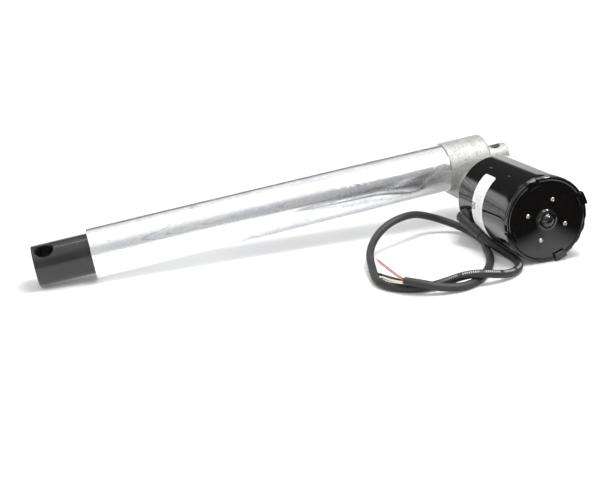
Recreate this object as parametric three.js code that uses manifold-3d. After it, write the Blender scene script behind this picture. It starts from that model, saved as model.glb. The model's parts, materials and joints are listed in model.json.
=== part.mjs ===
// Linear actuator with a parallel motor: gear housing, cover tube, extension tube, motor and cord.
// Millimetres, +Z up. The unit lies on the motor shell and on the end of the extension tube.
import * as THREE from "three";
import { mergeVertices } from "three/addons/utils/BufferGeometryUtils.js";
import Module from "manifold-3d";

const wasm = await Module();
wasm.setup();

// ---- driving dimensions ----
const MOTOR_R = 41.275; // 3.25 in motor shell
const SHELL_WALL = 4; // thick, because it carries the magnets' flux
const TAB_R = 39.3; // inside of the bent-over tabs
const SHELL_REAR = -62.5; // shell's closed end, toward the gears
const SHELL_FRONT = -166.4;
const CAP_FACE = -169.7;
const WORM_CENTRES = 22.5; // motor axis to screw axis
const COVER_R = 25.4; // 2 in cover tube
const COVER_BORE = 22.2;
const COVER_START = 28.3;
const COVER_END = 406.9;
const EXTENSION_R = 20.6; // 1 5/8 in extension tube
const EXTENSION_BORE = 18.2;
const EXTENSION_START = 58;
const TIP_S = 462;
const TIP_HOLE_S = 449.8;
const PLUG_START = 430; // the solid end is plugged into the tube here
const TIP_HOLE_R = 7.94;
const TIP_HOLE_TURN = -29.8; // degrees from straight up, toward the motor
const LUG_HOLE_S = -33;
const LUG_HOLE_R = 6.35;
const LUG_HOLE_TURN = -6;
const LUG_R = 11.7;
const LUG_END = -46;
const BARREL_R = 26.4;
const BARREL_REAR = -19.4;
const NECK_R = 21.7;
const NECK_REAR = 38;
const GEAR_TEETH = 20;
const GEAR_MODULE = 1.5;
const SCREW_LEAD = 12.7;
const SCREW_END = 400;
const CORD_D = 7.6;
// middle of the bounding box, measured from the point where the two drives cross
const MIDDLE_X = -209.67;
const MIDDLE_Y = -69.1;

const rad = (deg) => (deg * Math.PI) / 180;
// the tube leans so that the shell and the tip's edge both touch the floor
const drop = WORM_CENTRES - EXTENSION_R;
const TILT = Math.asin(MOTOR_R / Math.hypot(TIP_S, drop)) + Math.atan2(drop, TIP_S);
const along = new THREE.Vector3(-Math.cos(TILT), 0, -Math.sin(TILT));
const over = new THREE.Vector3(-Math.sin(TILT), 0, Math.cos(TILT));
const side = new THREE.Vector3(0, 1, 0);
const motorFrame = new THREE.Matrix4().makeTranslation(-MIDDLE_X, -MIDDLE_Y, MOTOR_R);
const tubeFrame = new THREE.Matrix4().makeBasis(side, along, over);
tubeFrame.setPosition(
  -MIDDLE_X + over.x * WORM_CENTRES,
  -MIDDLE_Y,
  MOTOR_R + over.z * WORM_CENTRES,
);
const layout = new THREE.Matrix4().makeTranslation(-MIDDLE_X, -MIDDLE_Y, 0);

// ---- solids ----
function solid(geometry) {
  const g = geometry.index ? geometry.clone() : mergeVertices(geometry.clone());
  g.deleteAttribute("normal");
  g.deleteAttribute("uv");
  const merged = mergeVertices(g, 1e-4);
  const from = Array.from(merged.index.array);
  let tris = [];
  for (let i = 0; i < from.length; i += 3) {
    const [a, b, c] = from.slice(i, i + 3);
    if (a !== b && b !== c && a !== c) tris.push(a, b, c);
  }
  const p = merged.attributes.position.array;
  let volume = 0;
  for (let i = 0; i < tris.length; i += 3) {
    const [a, b, c] = tris.slice(i, i + 3).map((v) => new THREE.Vector3().fromArray(p, v * 3));
    volume += a.dot(b.cross(c));
  }
  if (volume < 0) tris = tris.map((_, i) => tris[i - (i % 3) + [0, 2, 1][i % 3]]);
  return new wasm.Manifold(
    new wasm.Mesh({
      numProp: 3,
      vertProperties: new Float32Array(p),
      triVerts: new Uint32Array(tris),
    }),
  );
}

// solid of revolution about the local Y axis; profile is a closed list of [radius, height]
function turned(profile, segments = 48) {
  const points = profile.map(([r, h]) => new THREE.Vector2(r, h));
  points.push(points[0].clone());
  return solid(new THREE.LatheGeometry(points, segments));
}

function disc(r, h0, h1, segments = 48) {
  return turned([[0, h0], [r, h0], [r, h1], [0, h1]], segments);
}

function ring(inner, outer, h0, h1, segments = 48) {
  return turned([[inner, h0], [outer, h0], [outer, h1], [inner, h1]], segments);
}

function block(x, y, z, at) {
  return solid(new THREE.BoxGeometry(x, y, z).translate(at[0], at[1], at[2]));
}

// a round bar across the local Y axis, at a height, turned about Y from local Z toward local X
function crossBar(r, length, height, degrees, segments = 32, chamferAt = 0) {
  let profile = [[0, -length], [r, -length], [r, length], [0, length]];
  if (chamferAt) {
    const c = chamferAt;
    profile = [[0, -length], [r + length - c, -length], [r, -c], [r, c], [r + length - c, length]];
    profile.push([0, length]);
  }
  const points = profile.map(([a, b]) => new THREE.Vector2(a, b));
  points.push(points[0].clone());
  const g = new THREE.LatheGeometry(points, segments);
  g.rotateX(Math.PI / 2);
  g.rotateY(rad(degrees));
  g.translate(0, height, 0);
  return solid(g);
}

// an arc-shaped wall about the local Y axis, angle 0 at local Z, growing toward local X
function arcWall(inner, outer, h0, h1, fromDeg, toDeg, segments) {
  const points = [[inner, h0], [outer, h0], [outer, h1], [inner, h1]];
  const rings = [];
  const position = [];
  for (let i = 0; i <= segments; i += 1) {
    const a = rad(fromDeg + ((toDeg - fromDeg) * i) / segments);
    rings.push(points.map(([r, h]) => [r * Math.sin(a), h, r * Math.cos(a)]));
  }
  skin(rings, position);
  return fromTriangles(position);
}

// quads between successive closed rings, and flat ends
function skin(rings, position) {
  const n = rings[0].length;
  for (let i = 0; i + 1 < rings.length; i += 1) {
    for (let k = 0; k < n; k += 1) {
      const a = rings[i][k];
      const b = rings[i][(k + 1) % n];
      const c = rings[i + 1][(k + 1) % n];
      const d = rings[i + 1][k];
      position.push(...a, ...b, ...c, ...a, ...c, ...d);
    }
  }
  const last = rings[rings.length - 1];
  for (let k = 1; k + 1 < n; k += 1) {
    position.push(...rings[0][0], ...rings[0][k + 1], ...rings[0][k]);
    position.push(...last[0], ...last[k], ...last[k + 1]);
  }
}

function fromTriangles(position) {
  const g = new THREE.BufferGeometry();
  g.setAttribute("position", new THREE.BufferAttribute(new Float32Array(position), 3));
  return solid(g);
}

// a rod with a right-handed thread about the local Y axis; the profile covers one lead and is a
// list of [radius, height] that starts on the root, and the next turn begins one lead further on
function threadedRod(profile, lead, h0, turns, steps) {
  const n = profile.length;
  const at = (i, k) => {
    const whole = i + Math.floor(k / n) * steps;
    const turn = (whole / steps) * 2 * Math.PI;
    const [r, dh] = profile[k % n];
    return [r * Math.sin(turn), h0 + (whole / steps) * lead + dh, r * Math.cos(turn)];
  };
  const position = [];
  const count = turns * steps;
  for (let i = 0; i < count; i += 1) {
    for (let k = 0; k < n; k += 1) {
      const [a, b, c, d] = [at(i, k), at(i, k + 1), at(i + 1, k + 1), at(i + 1, k)];
      position.push(...a, ...b, ...c, ...a, ...c, ...d);
    }
  }
  for (const [first, sign] of [[0, 1], [count, -1]]) {
    const edge = [];
    for (let i = 0; i <= steps; i += 1) edge.push(at(first + i, 0));
    for (let k = n - 1; k > 0; k -= 1) edge.push(at(first, k));
    const middle = [0, h0 + (first / steps + 0.5) * lead, 0];
    edge.forEach((q, i) => {
      const next = edge[(i + 1) % edge.length];
      if (sign > 0) position.push(...middle, ...q, ...next);
      else position.push(...middle, ...next, ...q);
    });
  }
  return fromTriangles(position);
}

const group = new THREE.Group();

function add(name, body, frame, look) {
  const mesh = body.getMesh();
  const g = new THREE.BufferGeometry();
  g.setAttribute("position", new THREE.BufferAttribute(Float32Array.from(mesh.vertProperties), 3));
  g.setIndex(new THREE.BufferAttribute(Uint32Array.from(mesh.triVerts), 1));
  g.applyMatrix4(frame);
  const flat = g.toNonIndexed();
  flat.computeVertexNormals();
  const [color, roughness, metalness] = look;
  const material = new THREE.MeshStandardMaterial({ color, roughness, metalness });
  const part = new THREE.Mesh(flat, material);
  part.name = name;
  group.add(part);
}

const CAST = [0xc9c9c8, 0.55, 0.75];
const ALUMINIUM = [0xdfe1e4, 0.28, 0.95];
const BLACK_STEEL = [0x1a1a1b, 0.4, 0.5];
const GLOSS_BLACK = [0x080808, 0.12, 0.1];
const STEEL = [0xb8babd, 0.3, 1];
const DARK_STEEL = [0x6c6e72, 0.4, 1];
const BRONZE = [0xb88a4a, 0.35, 0.9];
const COPPER = [0xb4683e, 0.35, 0.9];
const PLASTIC = [0x2a2a2c, 0.6, 0];
const ACETAL = [0xe6e4dc, 0.5, 0];
const RUBBER = [0x2b2b2d, 0.75, 0];
const FERRITE = [0x3b3a3a, 0.8, 0.1];
const PAPER = [0xf2f2f0, 0.6, 0];

// ---- gear housing: screw barrel, worm neck, motor flange and rear lug in one casting ----
const toTube = new THREE.Matrix4().copy(motorFrame).invert().multiply(tubeFrame);
// geometry built about the tube axis, moved so that the motor axis is the local Y axis
function aboutMotor(body) {
  return body.transform(toTube.elements);
}

function gearHousing() {
  const barrel = turned([
    [0, BARREL_REAR],
    [BARREL_R - 3.6, BARREL_REAR],
    [BARREL_R - 1.1, BARREL_REAR + 1.1],
    [BARREL_R, BARREL_REAR + 3.6],
    [BARREL_R, COVER_START - 0.3],
    [COVER_BORE - 0.3, COVER_START - 0.3],
    [COVER_BORE - 0.3, 42],
    [0, 42],
  ], 44);
  const lug = turned([
    [0, LUG_END],
    [LUG_R - 1.8, LUG_END],
    [LUG_R, LUG_END + 1.8],
    [LUG_R, BARREL_REAR - 2],
    [LUG_R + 2, BARREL_REAR + 1],
    [0, BARREL_REAR + 1],
  ], 28);
  const chamber = turned([
    [0, -14.5],
    [11.3, -14.5],
    [11.3, -7],
    [18.4, -7],
    [18.4, 43],
    [0, 43],
  ], 32);
  const lugHole = crossBar(LUG_HOLE_R, 40, LUG_HOLE_S, LUG_HOLE_TURN, 24);
  const neck = turned([
    [0, SHELL_REAR + 0.3],
    [37, SHELL_REAR + 0.3],
    [37, -55.2],
    [NECK_R + 3, -55.2],
    [NECK_R, -52],
    [NECK_R, NECK_REAR - 1.5],
    [NECK_R - 1.5, NECK_REAR],
    [0, NECK_REAR],
  ], 40);
  const bore = turned([
    [0, SHELL_REAR - 1],
    [13.3, SHELL_REAR - 1],
    [13.3, -50],
    [10.4, -50],
    [10.4, 20],
    [13, 20],
    [13, 40],
    [0, 40],
  ], 28);
  let body = aboutMotor(barrel.add(lug)).add(neck);
  for (const a of [45, 135, 225, 315]) {
    const rib = solid(
      new THREE.BoxGeometry(3.4, 16, 15).translate(0, -46.5, 24.5).rotateY(rad(a)),
    );
    body = body.add(rib);
  }
  body = body.subtract(aboutMotor(chamber)).subtract(aboutMotor(lugHole)).subtract(bore);
  for (const a of [0, 90, 180, 270]) {
    const hole = disc(2.7, -70, -40, 12).translate([
      30.5 * Math.sin(rad(a)), 0, 30.5 * Math.cos(rad(a)),
    ]);
    body = body.subtract(hole);
  }
  return body;
}
add("gear_housing", gearHousing(), motorFrame, CAST);

const plug = disc(12.7, 26, 37.6, 32);
const hexKey = solid(new THREE.CylinderGeometry(5, 5, 12, 6).translate(0, 37.6, 0));
add("thrust_plug", plug.subtract(hexKey), motorFrame, DARK_STEEL);
add("worm_end_bushing", ring(4.4, 10.1, 13.5, 19.7, 24), motorFrame, BRONZE);
add("motor_bearing", ring(4.4, 12.9, -61.5, -50.4, 32), motorFrame, STEEL);

// ---- cover tube and what fills its ends ----
const chamfered = turned([
  [COVER_BORE, COVER_START],
  [COVER_R, COVER_START],
  [COVER_R, COVER_END - 0.6],
  [COVER_R - 0.6, COVER_END],
  [COVER_BORE, COVER_END],
], 48);
add("cover_tube", chamfered, tubeFrame, ALUMINIUM);
add("front_bushing", ring(EXTENSION_R + 0.35, COVER_BORE - 0.25, 380, 398, 48), tubeFrame, ACETAL);
const wiper = turned([
  [EXTENSION_R + 0.35, 405.9],
  [EXTENSION_R + 0.35, 404.6],
  [EXTENSION_R + 0.8, 403.4],
  [EXTENSION_R + 0.8, 398.3],
  [COVER_BORE - 0.25, 398.3],
  [COVER_BORE - 0.25, 406.2],
], 48);
add("wiper_seal", wiper, tubeFrame, RUBBER);
add("screw_rear_bearing", ring(6.4, 11, -14.2, -7.3, 32), tubeFrame, STEEL);
add("screw_thrust_bearing", ring(8.4, 18.1, 9, 21, 40), tubeFrame, STEEL);
add("bearing_retainer", ring(14, 18.1, 21.3, 24, 40), tubeFrame, DARK_STEEL);

// ---- lead screw, gear and end stop: the screw body ----
const screwRidge = [[6, 0], [6, 3.6], [8, 4.7], [8, 7.9], [6, 9]];
const screw = turned([
  [0, -14],
  [6.1, -14],
  [6.1, 30],
  [5.7, 30],
  [5.7, SCREW_END],
  [5.5, SCREW_END + 0.5],
  [5.5, SCREW_END + 4.7],
  [0, SCREW_END + 4.7],
], 12);
const screwThread = threadedRod(screwRidge, SCREW_LEAD, 26, 27, 10);
add("lead_screw", screw.add(screwThread), tubeFrame, STEEL);
add("screw_stop_washer", ring(5.8, 16.6, SCREW_END + 0.6, SCREW_END + 4.4, 32), tubeFrame, DARK_STEEL);

const gearPitchR = (GEAR_TEETH * GEAR_MODULE) / 2;
const wormPitchR = WORM_CENTRES - gearPitchR;
const wormLead = Math.PI * GEAR_MODULE;
function gearWheel() {
  const shape = new THREE.Shape();
  const tooth = [[-0.3, -1.8], [-0.19, 0], [-0.09, 1.1], [0.09, 1.1], [0.19, 0], [0.3, -1.8]];
  for (let i = 0; i < GEAR_TEETH; i += 1) {
    for (const [part, up] of tooth) {
      const a = ((i + part) / GEAR_TEETH) * 2 * Math.PI;
      const r = gearPitchR + up;
      if (i === 0 && part === tooth[0][0]) shape.moveTo(r * Math.sin(a), r * Math.cos(a));
      else shape.lineTo(r * Math.sin(a), r * Math.cos(a));
    }
  }
  shape.closePath();
  const width = 9;
  const g = new THREE.ExtrudeGeometry(shape, { depth: width, bevelEnabled: false, steps: 2 });
  g.translate(0, 0, -width / 2);
  // teeth follow the worm's lead angle
  const slope = wormLead / (2 * Math.PI * wormPitchR) / gearPitchR;
  const p = g.attributes.position;
  for (let i = 0; i < p.count; i += 1) {
    const turn = p.getZ(i) * slope;
    const x = p.getX(i) * Math.cos(turn) - p.getY(i) * Math.sin(turn);
    const y = p.getX(i) * Math.sin(turn) + p.getY(i) * Math.cos(turn);
    p.setXY(i, x, y);
  }
  // extrusion runs along local Z: turn it onto local Y
  g.rotateX(-Math.PI / 2);
  // a gap between teeth faces the worm
  g.rotateY(rad(180 / GEAR_TEETH));
  return solid(g).subtract(disc(6.4, -10, 10, 16));
}
add("worm_gear", gearWheel(), tubeFrame, BRONZE);

// ---- rotor: shaft with worm, core, windings and commutator ----
const wormTip = wormPitchR + 1.1;
const wormRidge = [
  [5.8, -wormLead / 2],
  [5.8, -1.15],
  [wormTip, -0.45],
  [wormTip, 0.45],
  [5.8, 1.15],
];
const wormTurns = 5;
const shaft = turned([
  [0, -163],
  [4, -163],
  [4, 19.6],
  [0, 19.6],
], 16);
// crests stand at whole leads from the middle, so one sits in the tooth gap that faces it
const worm = threadedRod(wormRidge, wormLead, -2 * wormLead, wormTurns - 1, 16);
add("worm_shaft", shaft.add(worm), motorFrame, STEEL);

let core = ring(4.4, 30.4, -136, -82, 36);
for (let i = 0; i < 12; i += 1) {
  const slot = new THREE.BoxGeometry(2.4, 60, 9).translate(0, -109, 30).rotateY(rad(i * 30));
  core = core.subtract(solid(slot));
}
add("rotor_core", core, motorFrame, DARK_STEEL);
const windingEnd = (h0, h1) => turned([
  [9, h0],
  [24, h0],
  [26.5, (h0 + h1) / 2],
  [24, h1],
  [9, h1],
], 24);
add("rotor_winding_rear", windingEnd(-81.7, -74), motorFrame, COPPER);
add("rotor_winding_front", windingEnd(-144, -136.3), motorFrame, COPPER);
add("commutator", ring(4.3, 11, -157, -144.3, 24), motorFrame, COPPER);

// ---- motor shell, magnets, brush gear and cap ----
const tabs = [-21.5, 67, 159.5, -109];
const shellInner = MOTOR_R - SHELL_WALL;
const shellWall = turned([
  [14, SHELL_REAR],
  [MOTOR_R - 2.6, SHELL_REAR],
  [MOTOR_R - 0.8, SHELL_REAR + -0.8],
  [MOTOR_R, SHELL_REAR - 2.6],
  [MOTOR_R, SHELL_FRONT],
  [shellInner, SHELL_FRONT],
  [shellInner, SHELL_REAR - 3.4],
  [shellInner - 1.4, SHELL_REAR - 2],
  [14, SHELL_REAR - 2],
], 48);
let shell = shellWall;
for (const a of tabs) {
  const leg = arcWall(TAB_R, MOTOR_R, SHELL_FRONT + 2, CAP_FACE - 1.2, a - 6.5, a + 6.5, 4);
  const lip = arcWall(34.5, MOTOR_R - 0.6, CAP_FACE - 0.3, CAP_FACE - 1.8, a - 6.5, a + 6.5, 4);
  shell = shell.add(leg).add(lip);
}
for (const a of [0, 90, 180, 270]) {
  shell = shell.subtract(disc(2.7, -70, -60, 12).translate([
    30.5 * Math.sin(rad(a)), 0, 30.5 * Math.cos(rad(a)),
  ]));
}
const EXIT_ANGLE = -108;
const EXIT_Y = -82;
shell = shell.subtract(crossBar(5, 46, EXIT_Y, EXIT_ANGLE, 16).intersect(
  block(60, 40, 90, [-30, EXIT_Y, 0]),
));
add("motor_shell", shell, motorFrame, GLOSS_BLACK);

add("magnet_1", arcWall(31.4, 36.9, -142, -76, -62, 62, 12), motorFrame, FERRITE);
add("magnet_2", arcWall(31.4, 36.9, -142, -76, 118, 242, 12), motorFrame, FERRITE);

let cap = turned([
  [0, -163.8],
  [36.9, -163.8],
  [36.9, SHELL_FRONT - 0.3],
  [MOTOR_R - 0.1, SHELL_FRONT - 0.3],
  [MOTOR_R - 0.1, CAP_FACE + 0.9],
  [MOTOR_R - 1, CAP_FACE],
  [39, CAP_FACE],
  [38.4, CAP_FACE + 0.7],
  [0, CAP_FACE + 0.7],
], 48);
const boss = turned([
  [0, CAP_FACE + 1],
  [10.6, CAP_FACE + 1],
  [10.6, CAP_FACE + 0.7],
  [9.8, CAP_FACE - 1.2],
  [8.2, CAP_FACE - 2.6],
  [6.6, CAP_FACE - 3],
  [6, CAP_FACE - 4.6],
  [4.2, CAP_FACE - 5.9],
  [1.8, CAP_FACE - 6.4],
  [0, CAP_FACE - 6.5],
], 24);
cap = cap.add(boss).subtract(disc(7, -170.4, -160, 24));
for (const a of tabs) {
  const notch = block(11.2, 14, 8, [0, SHELL_FRONT, MOTOR_R + 1.6]);
  cap = cap.subtract(notch.rotate([0, a, 0]));
}
// small notches round the rim
for (const a of [-93, 99, 117, 135, -166]) {
  cap = cap.subtract(block(6, 14, 3, [0, SHELL_FRONT, MOTOR_R + 0.7]).rotate([0, a, 0]));
}
const RIVET_R = 19.8;
const rivetAngles = [18, 108, 198, 288];
for (const a of rivetAngles) {
  const at = [RIVET_R * Math.sin(rad(a)), 0, RIVET_R * Math.cos(rad(a))];
  cap = cap.subtract(disc(1.9, -175, -160, 12).translate(at));
}
add("motor_end_cap", cap, motorFrame, GLOSS_BLACK);
add("motor_bushing", ring(4.3, 6.7, -170, -164.2, 24), motorFrame, BRONZE);

rivetAngles.forEach((a, i) => {
  const f = CAP_FACE + 0.7;
  const rivet = turned([
    [0, -158.4],
    [1.6, -158.4],
    [1.6, f - 0.1],
    [2.2, f - 0.1],
    [2.1, f - 0.8],
    [1.4, f - 1.4],
    [0, f - 1.6],
  ], 12);
  const at = [RIVET_R * Math.sin(rad(a)), 0, RIVET_R * Math.cos(rad(a))];
  add(`rivet_${i + 1}`, rivet.translate(at), motorFrame, STEEL);
});

let brushPlate = ring(13.5, 36.6, -161, -158.7, 32);
for (const a of rivetAngles) {
  const at = [RIVET_R * Math.sin(rad(a)), 0, RIVET_R * Math.cos(rad(a))];
  brushPlate = brushPlate.subtract(disc(1.9, -163, -156, 12).translate(at));
}
add("brush_plate", brushPlate, motorFrame, PLASTIC);
add("brush_1", block(12, 9, 6.4, [17.6, -152, 0]), motorFrame, DARK_STEEL);
add("brush_2", block(12, 9, 6.4, [-17.6, -152, 0]), motorFrame, DARK_STEEL);

[0, 90, 180, 270].forEach((a, i) => {
  const bolt = turned([
    [0, -67],
    [2.4, -67],
    [2.4, -55],
    [4.6, -55],
    [4.6, -51.2],
    [4, -50.6],
    [0, -50.6],
  ], 12);
  const key = solid(new THREE.CylinderGeometry(2, 2, 5, 6).translate(0, -50.6, 0));
  const at = [30.5 * Math.sin(rad(a)), 0, 30.5 * Math.cos(rad(a))];
  add(`motor_screw_${i + 1}`, bolt.subtract(key).translate(at), motorFrame, DARK_STEEL);
});

// ---- strain relief on the shell, label, cord and leads ----
const seat = new THREE.Vector3(
  MOTOR_R * Math.sin(rad(EXIT_ANGLE)), EXIT_Y, MOTOR_R * Math.cos(rad(EXIT_ANGLE)),
);
const bootBase = new THREE.Vector3(-43.1, -84, 25.6 - MOTOR_R);
const bootEnd = new THREE.Vector3(-39.5, -103, 18 - MOTOR_R);
const boot = new THREE.CylinderGeometry(6.6, 4.7, bootBase.distanceTo(bootEnd), 24);
const heading = bootEnd.clone().sub(bootBase).normalize();
boot.applyQuaternion(new THREE.Quaternion().setFromUnitVectors(
  new THREE.Vector3(0, -1, 0), heading,
));
boot.translate(...bootBase.clone().add(bootEnd).multiplyScalar(0.5).toArray());
const knuckle = new THREE.SphereGeometry(6.6, 20, 12).translate(...bootBase.toArray());
const collar = new THREE.CylinderGeometry(8.2, 9, 4.4, 24).rotateX(Math.PI / 2);
collar.rotateY(rad(EXIT_ANGLE));
collar.translate(...seat.clone().setY(0).multiplyScalar(1.03).setY(EXIT_Y).toArray());
const clearOfShell = disc(MOTOR_R + 0.15, -120, -60, 64).add(
  disc(MOTOR_R + 0.35, -125, -96.5, 64),
);
const relief = solid(boot).add(solid(knuckle)).add(solid(collar)).subtract(clearOfShell);
add("strain_relief", relief, motorFrame, RUBBER);

add(
  "rating_label",
  arcWall(MOTOR_R + 0.05, MOTOR_R + 0.2, -119.5, -97, -37.8, -146.8, 20),
  motorFrame,
  PAPER,
);

function cable(points, diameter, sides, steps) {
  const curve = new THREE.CatmullRomCurve3(points.map((q) => new THREE.Vector3(...q)));
  const shape = new THREE.Shape();
  for (let i = 0; i < sides; i += 1) {
    const a = (i / sides) * 2 * Math.PI;
    const x = (diameter / 2) * Math.cos(a);
    const y = (diameter / 2) * Math.sin(a);
    if (i === 0) shape.moveTo(x, y);
    else shape.lineTo(x, y);
  }
  shape.closePath();
  const g = new THREE.ExtrudeGeometry(shape, { steps, extrudePath: curve, bevelEnabled: false });
  return solid(g);
}

// route of the cord from the strain relief to its cut end, lying on the floor
const CORD = [
  [-38.7, -104.5, 17.5],
  [-35.5, -114, 13],
  [-33.5, -120, 10.6],
  [-31, -126, 8.1],
  [-28.4, -133, 5.9],
  [-26.5, -141, 4.5],
  [-25.9, -150, 4],
  [-25.9, -158.5, 3.9],
  [-32.7, -178.8, 4],
  [-46.2, -190.9, 4.2],
  [-59.7, -197, 6.9],
  [-79.6, -197.9, 11.5],
  [-93.4, -193.7, 10.9],
  [-110.5, -189.3, 5.9],
  [-129.8, -189.5, 3.9],
  [-144.8, -185.2, 4.1],
  [-157.2, -173.5, 4],
  [-162.6, -155.7, 4.2],
  [-159.6, -137, 5.7],
  [-155.7, -120, 8.4],
  [-151.2, -102.3, 11],
  [-143.6, -86.2, 15],
  [-133.1, -72.1, 19.7],
  [-119.3, -61.5, 25.4],
  [-102.7, -55.2, 29.4],
  [-86.9, -46.8, 28.6],
  [-72.4, -35.5, 24],
  [-56.3, -31.3, 17.6],
  [-41.3, -35.8, 11.4],
  [-29.9, -48.2, 6.2],
  [-25.6, -64.9, 3.9],
  [-27.4, -82.8, 4.6],
  [-29.8, -100.7, 4.1],
  [-36.4, -116.8, 3.9],
  [-41.9, -135.7, 3.9],
  [-49.7, -152.8, 4],
  [-58.7, -168.4, 3.9],
  [-70.1, -182.5, 3.9],
  [-83.2, -195.8, 3.9],
  [-98.8, -202.9, 4.1],
  [-118, -202.2, 6],
  [-133, -197.1, 10.1],
  [-148, -186.5, 12.2],
];
add("power_cord", cable(CORD, CORD_D, 8, 78), layout, RUBBER);
const RED_LEAD = [
  [-148.9, -185.6, 13.9],
  [-150.4, -180, 14.2],
  [-151.2, -163.7, 14.6],
  [-152.2, -148.6, 15.3],
  [-153.2, -135.2, 15.8],
  [-153.3, -126, 16],
];
const BLACK_LEAD = [
  [-148.2, -184.9, 11.5],
  [-150.6, -178.6, 11.4],
  [-152.9, -170, 10.2],
  [-154, -152.1, 7],
  [-154.4, -134, 3.4],
  [-156.1, -122, 1.4],
  [-160, -115.3, 1.4],
];
const WHITE_LEAD = [
  [-149.7, -186.9, 11.3],
  [-152.4, -181.6, 10.3],
  [-154.6, -174.4, 9.3],
  [-156.8, -165.2, 8.4],
  [-158.1, -156.4, 7.7],
];
add("lead_red", cable(RED_LEAD, 2.4, 8, 14), layout, [0xc8525a, 0.5, 0]);
add("lead_black", cable(BLACK_LEAD, 2.4, 8, 18), layout, [0x1c1c1e, 0.5, 0]);
add("lead_white", cable(WHITE_LEAD, 2.4, 8, 12), layout, [0xe9e2d2, 0.5, 0]);

// ---- extension body: tube, cross-drilled end plug, nut and guide ring ----
add(
  "extension_tube",
  ring(EXTENSION_BORE, EXTENSION_R, EXTENSION_START, PLUG_START, 48),
  tubeFrame,
  BLACK_STEEL,
);
const endPlug = turned([
  [0, PLUG_START - 12],
  [EXTENSION_BORE - 0.1, PLUG_START - 12],
  [EXTENSION_BORE - 0.1, PLUG_START],
  [EXTENSION_R, PLUG_START],
  [EXTENSION_R, TIP_HOLE_S],
  [0, TIP_HOLE_S],
], 48);
const endCap = turned([
  [0, TIP_HOLE_S],
  [EXTENSION_R, TIP_HOLE_S],
  [EXTENSION_R, TIP_S - 0.5],
  [EXTENSION_R - 0.5, TIP_S],
  [0, TIP_S],
], 48);
const tipHole = crossBar(TIP_HOLE_R, 50, TIP_HOLE_S, TIP_HOLE_TURN, 32);
const sink = (sign) => {
  const a = rad(TIP_HOLE_TURN);
  const c = new THREE.CylinderGeometry(TIP_HOLE_R + 2.4, TIP_HOLE_R - 0.8, 3.2, 32);
  c.rotateX(sign > 0 ? Math.PI / 2 : -Math.PI / 2);
  c.rotateY(a);
  const out = EXTENSION_R - 0.3;
  c.translate(sign * out * Math.sin(a), TIP_HOLE_S, sign * out * Math.cos(a));
  return solid(c);
};
const crossDrilled = (body) => body.subtract(tipHole).subtract(sink(1)).subtract(sink(-1));
add("extension_plug", crossDrilled(endPlug), tubeFrame, BLACK_STEEL);
add("extension_tip", crossDrilled(endCap), tubeFrame, BLACK_STEEL);
add("drive_nut", ring(8.5, EXTENSION_BORE - 0.25, 60, 94, 32), tubeFrame, BRONZE);
add("guide_ring", ring(EXTENSION_R + 0.1, COVER_BORE - 0.25, 60, 72, 48), tubeFrame, ACETAL);

export default group;
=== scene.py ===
"""Linear actuator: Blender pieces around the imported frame. Metres, in the CAD's own frame."""

import json
import math

import bmesh
import bpy
from mathutils import Matrix, Vector


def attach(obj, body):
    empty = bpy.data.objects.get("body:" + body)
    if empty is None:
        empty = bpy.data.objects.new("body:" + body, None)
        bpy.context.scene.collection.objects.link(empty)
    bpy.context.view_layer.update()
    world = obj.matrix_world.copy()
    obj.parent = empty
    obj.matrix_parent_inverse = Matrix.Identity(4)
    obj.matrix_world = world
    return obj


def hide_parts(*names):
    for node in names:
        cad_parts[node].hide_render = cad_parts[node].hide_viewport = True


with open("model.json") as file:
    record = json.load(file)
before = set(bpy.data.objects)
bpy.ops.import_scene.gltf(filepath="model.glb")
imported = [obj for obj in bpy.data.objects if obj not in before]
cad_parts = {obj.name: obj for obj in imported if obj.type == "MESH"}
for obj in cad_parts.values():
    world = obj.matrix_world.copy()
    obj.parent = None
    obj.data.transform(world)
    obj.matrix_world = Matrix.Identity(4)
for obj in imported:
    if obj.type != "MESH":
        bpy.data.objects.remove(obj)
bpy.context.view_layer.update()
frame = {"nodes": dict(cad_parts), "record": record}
MM = 0.001
scene = bpy.context.scene

# ---- where things are, from the record's joints ----
JOINTS = {j["name"]: j for j in frame["record"]["behaviour"]["joints"]}
MOTOR_AT = Vector(JOINTS["motor_spin"]["pos_m"])
SCREW_AT = Vector(JOINTS["screw_spin"]["pos_m"])
ALONG = Vector(JOINTS["extension_slide"]["axis"]).normalized()
SIDE = Vector((0, 1, 0))
OVER = SIDE.cross(ALONG).normalized()
TUBE = Matrix((SIDE, ALONG, OVER)).transposed().to_4x4()
TUBE.translation = SCREW_AT
MOTOR = Matrix.Translation(MOTOR_AT)
FLOOR_ORIGIN = Vector((MOTOR_AT.x, MOTOR_AT.y, 0))

# ---- sizes in millimetres and turns in degrees, used in more than one place ----
SHELL_R = 41.275
COVER_R = 25.4
SCREW_TURNS = (0, 90, 180, 270)
SCREW_CIRCLE_R = 30.5
SCREW_HOLE_R = 2.7
RIVET_TURNS = (18, 108, 198, 288)
RIVET_CIRCLE_R = 19.8
CAP_FACE_Y = -169.0
# turn round from the top, and how far out the tab stands
TABS = ((-21.5, 42.6), (67, 42.6), (159.5, 42.2), (-109, 42.6))


def round_motor(turn, radius):
    """Matrix of a point at a turn from the top and a radius, about the motor's axis."""
    spin = Matrix.Rotation(math.radians(turn), 4, "Y")
    return MOTOR @ spin @ Matrix.Translation((0, 0, radius * MM))


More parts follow.
